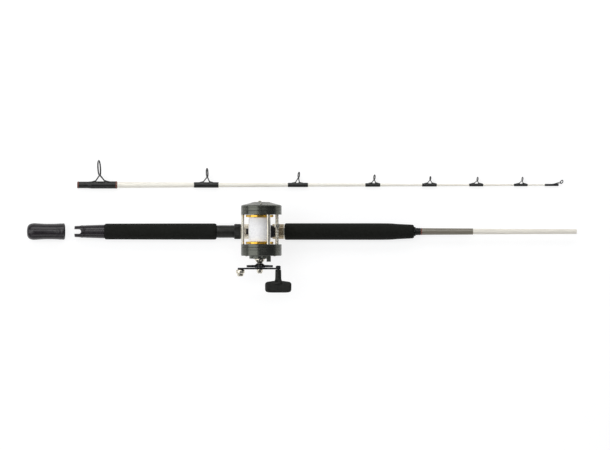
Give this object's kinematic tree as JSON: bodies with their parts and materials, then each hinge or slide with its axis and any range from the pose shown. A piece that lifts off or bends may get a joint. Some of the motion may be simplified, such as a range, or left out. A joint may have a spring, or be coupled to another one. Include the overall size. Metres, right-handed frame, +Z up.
{
  "type": "fishing rod and reel",
  "caption": "Boat fishing rod in separate butt and tip sections, with a level-wind reel, right-hand crank, foam grips and a slotted gimbal under a loose rubber cap.",
  "frame": {"origin": "under the middle of the laid-out rod's bounding box, at the surface it lies on", "axes": "+X along the rod from the butt cap to the blank's open end, +Y from the crank side to the tip section, +Z up through the reel"},
  "size_m": [1.1386, 0.2741, 0.1167],
  "materials": {
    "foam": "closed-cell EVA foam, matte, fine pores",
    "cap_rubber": "moulded rubber, satin",
    "graphite": "glass-filled nylon, satin",
    "seat": "graphite-filled nylon, satin, knurled nut",
    "champagne_metal": "anodised, satin",
    "sleeve": "clear-coated graphite wrap, satin",
    "blank": "ivory fibreglass under clear coat, glossy",
    "thread_wrap": "black thread under epoxy, glossy",
    "guide_metal": "black-plated steel wire, glossy",
    "gunmetal": "anodised gunmetal, satin",
    "bright_metal": "polished steel",
    "gold_metal": "gold anodised, polished",
    "line": "nylon line wound in close turns",
    "brass": "machined",
    "black_metal": "black anodised, semi-gloss",
    "knob_rubber": "fine-textured rubber",
    "trim": "red-brown thread trim under epoxy",
    "washer": "woven carbon friction washers between steel ones"
  },
  "bodies": {
    "root": {"gimbal": "graphite", "rear_grip": "foam", "reel_seat": "seat", "front_hood": "champagne_metal", "foregrip": "foam", "winding_check": "thread_wrap", "trim_ring": "trim", "blank_sleeve": "sleeve", "butt_blank": "blank", "left_frame_plate": "gunmetal", "right_frame_plate": "gunmetal", "rear_pillar": "bright_metal", "top_pillar": "bright_metal", "guide_bar": "bright_metal", "reel_foot": "black_metal", "left_cover": "gunmetal", "right_cover": "gunmetal", "left_bearing": "bright_metal", "right_bearing": "bright_metal", "anti_reverse_bearing": "bright_metal", "bearing_sleeve": "bright_metal"},
    "butt_cap": {"butt_cap": "cap_rubber"},
    "tip_section": {"tip_blank": "blank", "ferrule_wrap": "thread_wrap", "guide_1": "guide_metal", "guide_2": "guide_metal", "guide_3": "guide_metal", "guide_4": "guide_metal", "guide_5": "guide_metal", "guide_6": "guide_metal", "guide_7": "guide_metal", "wrap_2": "thread_wrap", "wrap_3": "thread_wrap", "wrap_4": "thread_wrap", "wrap_5": "thread_wrap", "wrap_6": "thread_wrap", "wrap_7": "thread_wrap", "tip_top": "guide_metal"},
    "rear_hood": {"rear_hood": "champagne_metal"},
    "lock_nut": {"lock_nut": "seat"},
    "crank": {"drive_shaft": "bright_metal", "drive_gear": "brass", "drag_washers": "washer", "crank_arm": "black_metal", "handle_nut": "bright_metal", "counterweight": "bright_metal"},
    "knob": {"knob": "knob_rubber", "knob_spindle": "black_metal"},
    "star_drag": {"star_drag": "black_metal"},
    "spool": {"spool": "gold_metal", "line_pack": "line", "spool_shaft": "bright_metal", "spool_gear": "brass"},
    "clutch_yoke": {"clutch_yoke": "bright_metal"},
    "pinion": {"pinion": "brass"},
    "clutch_lever": {"clutch_lever": "gunmetal"},
    "idler": {"idler_gear": "brass"},
    "worm": {"worm_shaft": "bright_metal"},
    "line_guide": {"line_guide": "bright_metal"},
    "click_button": {"click_button": "bright_metal"}
  },
  "joints": [
    {"name": "cap_push", "type": "slide", "parent": "root", "child": "butt_cap", "axis": [1, 0, 0], "range_m": [0, 0.0808]},
    {"name": "tip_section_lift", "type": "slide", "parent": "root", "child": "tip_section", "axis": [0, 0, 1], "range_m": [0, 0.12]},
    {"name": "hood_slide", "type": "slide", "parent": "root", "child": "rear_hood", "axis": [1, 0, 0], "range_m": [-0.01401, 0]},
    {"name": "nut_turn", "type": "hinge", "parent": "rear_hood", "child": "lock_nut", "pos_m": [-0.13345, -0.01162, 0.0172], "axis": [1, 0, 0], "range_deg": [-1680, 0]},
    {"name": "crank_turn", "type": "hinge", "parent": "root", "child": "crank", "pos_m": [-0.08675, -0.08602, 0.057], "axis": [0, -1, 0], "continuous": true},
    {"name": "knob_spin", "type": "hinge", "parent": "crank", "child": "knob", "pos_m": [-0.04875, -0.08972, 0.057], "axis": [0, -1, 0], "continuous": true},
    {"name": "star_turn", "type": "hinge", "parent": "crank", "child": "star_drag", "pos_m": [-0.08675, -0.08572, 0.057], "axis": [0, -1, 0], "range_deg": [-180, 180]},
    {"name": "spool_spin", "type": "hinge", "parent": "root", "child": "spool", "pos_m": [-0.08675, -0.00722, 0.075], "axis": [0, -1, 0], "continuous": true},
    {"name": "clutch_turn", "type": "hinge", "parent": "root", "child": "clutch_lever", "pos_m": [-0.07875, -0.06122, 0.097], "axis": [0, 1, 0], "range_deg": [0, 35]},
    {"name": "yoke_slide", "type": "slide", "parent": "root", "child": "clutch_yoke", "axis": [0, -1, 0], "range_m": [0, 0.00251]},
    {"name": "pinion_spin", "type": "hinge", "parent": "clutch_yoke", "child": "pinion", "pos_m": [-0.08675, -0.04722, 0.075], "axis": [0, -1, 0], "continuous": true},
    {"name": "idler_spin", "type": "hinge", "parent": "root", "child": "idler", "pos_m": [-0.06967, 0.03268, 0.07577], "axis": [0, -1, 0], "continuous": true},
    {"name": "worm_spin", "type": "hinge", "parent": "root", "child": "worm", "pos_m": [-0.05105, -0.00722, 0.079], "axis": [0, -1, 0], "continuous": true},
    {"name": "line_guide_slide", "type": "slide", "parent": "root", "child": "line_guide", "axis": [0, 1, 0], "range_m": [-0.0295, 0.0145]},
    {"name": "click_slide", "type": "slide", "parent": "root", "child": "click_button", "axis": [0, 0, 1], "range_m": [-0.0045, 0]}
  ],
  "couplings": [
    {"joint": "hood_slide", "follows": "nut_turn", "m_per_rad": 0.00047746},
    {"joint": "spool_spin", "follows": "crank_turn", "ratio": -3.4444},
    {"joint": "pinion_spin", "follows": "crank_turn", "ratio": -3.4444},
    {"joint": "idler_spin", "follows": "crank_turn", "ratio": 0.91852},
    {"joint": "worm_spin", "follows": "crank_turn", "ratio": -2.2963},
    {"joint": "yoke_slide", "follows": "clutch_turn", "m_per_rad": 0.0040926}
  ]
}
